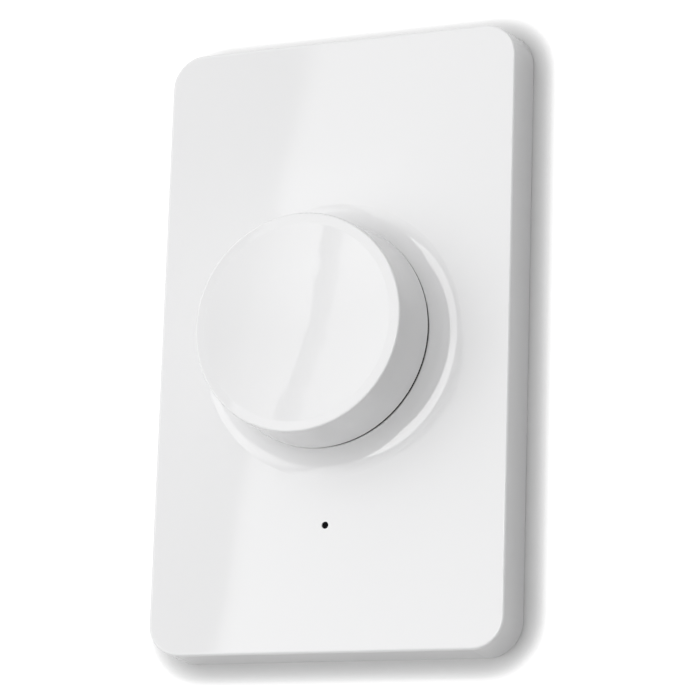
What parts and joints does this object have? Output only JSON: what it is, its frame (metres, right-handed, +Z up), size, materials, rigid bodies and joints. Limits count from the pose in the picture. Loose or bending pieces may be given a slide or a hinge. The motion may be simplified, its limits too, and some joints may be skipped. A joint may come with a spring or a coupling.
{
  "type": "smart dimmer switch",
  "caption": "Flat wall-hung wireless dimmer: white plate with a push-and-turn dial in a blended collar, on a slotted steel wall bracket.",
  "frame": {"origin": "midpoint between the two wall screw slots, on the wall plane at the bracket's back", "axes": "+Z up along the plate's length, +Y into the wall, +X to the right as the user faces the dial"},
  "size_m": [0.0698, 0.0234, 0.1142],
  "materials": {
    "cover_plastic": "white gloss moulded plastic, polished",
    "dial_plastic": "white gloss moulded plastic, polished",
    "shell_plastic": "white moulded plastic with a fine spark texture",
    "bracket_steel": "zinc-plated pressed steel sheet",
    "screw_steel": "zinc-plated steel",
    "board_green": "green solder mask over fibreglass board",
    "cell_steel": "nickel-plated steel can",
    "contact_nickel": "nickel-plated spring strip",
    "module_blue": "dark blue solder mask over fibreglass board",
    "can_steel": "tinned steel sheet",
    "ceramic": "fired ceramic",
    "chip_black": "black resistor body",
    "chip_brown": "brown ceramic capacitor body",
    "bulk_yellow": "moulded capacitor body",
    "led_white": "clear moulded lamp body",
    "lens_smoke": "smoked clear plastic, dark when unlit",
    "switch_black": "black glass-filled plastic",
    "button_grey": "grey moulded plastic",
    "zinc_cast": "die-cast zinc alloy",
    "brass_plated": "turned brass, nickel flashed"
  },
  "bodies": {
    "bracket": {"wall_bracket": "bracket_steel"},
    "unit": {"front_cover": "cover_plastic", "rear_shell": "shell_plastic", "case_screws": "screw_steel", "pcb_screws": "screw_steel", "main_pcb": "board_green", "coin_cell": "cell_steel", "cell_contact_negative": "contact_nickel", "cell_contact_positive": "contact_nickel", "radio_module_board": "module_blue", "radio_shield_can": "can_steel", "chip_antenna": "ceramic", "crystal": "can_steel", "bulk_capacitor": "bulk_yellow", "chip_resistors": "chip_black", "chip_capacitors": "chip_brown", "status_led": "led_white", "indicator_lens": "lens_smoke", "pairing_switch_body": "switch_black", "encoder_switch_base": "switch_black", "encoder_snap_dome": "contact_nickel", "encoder_contact_housing": "switch_black", "encoder_detent_spring": "contact_nickel", "encoder_bushing": "zinc_cast", "encoder_frame": "can_steel", "encoder_terminals": "contact_nickel", "encoder_washer": "screw_steel", "encoder_nut": "brass_plated"},
    "press": {"encoder_plunger": "button_grey"},
    "turning_dial": {"dial": "dial_plastic", "dial_grip_spring": "contact_nickel", "encoder_shaft": "brass_plated", "encoder_snap_ring": "screw_steel"},
    "rotor": {"encoder_rotor": "button_grey", "encoder_wiper": "contact_nickel"},
    "door": {"battery_door": "shell_plastic"},
    "pairing": {"pairing_button": "button_grey"}
  },
  "joints": [
    {"name": "unit_release", "type": "slide", "parent": "bracket", "child": "unit", "axis": [0, 0, 1], "range_m": [0, 0.004]},
    {"name": "dial_press", "type": "slide", "parent": "unit", "child": "press", "axis": [0, 1, 0], "range_m": [0, 0.0005], "stiffness_N_per_m": 3000, "springref_m": -0.0005, "deforming": ["encoder_snap_dome"]},
    {"name": "dial_turn", "type": "hinge", "parent": "press", "child": "turning_dial", "pos_m": [0, -0.015, 0], "axis": [0, 1, 0], "continuous": true, "deforming": ["encoder_detent_spring"]},
    {"name": "rotor_turn", "type": "hinge", "parent": "unit", "child": "rotor", "pos_m": [0, -0.008, 0], "axis": [0, 1, 0], "continuous": true},
    {"name": "door_turn", "type": "hinge", "parent": "unit", "child": "door", "pos_m": [0, -0.002, 0.0185], "axis": [0, 1, 0], "range_deg": [0, 30]},
    {"name": "pairing_press", "type": "slide", "parent": "unit", "child": "pairing", "axis": [0, -1, 0], "range_m": [0, 0.00025], "stiffness_N_per_m": 400, "springref_m": -0.001}
  ],
  "couplings": [
    {"joint": "rotor_turn", "follows": "dial_turn", "ratio": 1}
  ]
}
